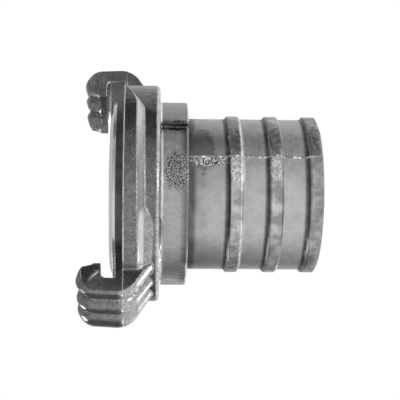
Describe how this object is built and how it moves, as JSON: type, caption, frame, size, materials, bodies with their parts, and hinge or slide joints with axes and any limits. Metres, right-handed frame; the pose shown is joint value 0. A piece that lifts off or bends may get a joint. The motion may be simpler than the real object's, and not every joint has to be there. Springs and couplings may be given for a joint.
{
  "type": "fire hose coupling head",
  "caption": "Two-hook fire hose coupling head: ribbed hose tail with a flange and a rubber sealing ring, and a loose collar that turns on it and hooks onto the mating head.",
  "frame": {"origin": "middle of the hose tail's end face, which the head stands on", "axes": "+Z along the waterway towards the mating head, X through the middles of the two hooks"},
  "size_m": [0.1396, 0.117, 0.1158],
  "materials": {
    "cast_sleeve": "as cast, turned at the front face",
    "cast_collar": "as cast with a parting line",
    "seal_rubber": "matt pale rubber"
  },
  "bodies": {
    "tailpiece": {"sleeve": "cast_sleeve", "seal_ring": "seal_rubber"},
    "swivel": {"collar": "cast_collar"}
  },
  "joints": [
    {"name": "collar_spin", "type": "hinge", "parent": "tailpiece", "child": "swivel", "pos_m": [0, 0, 0.079], "axis": [0, 0, 1], "continuous": true}
  ]
}
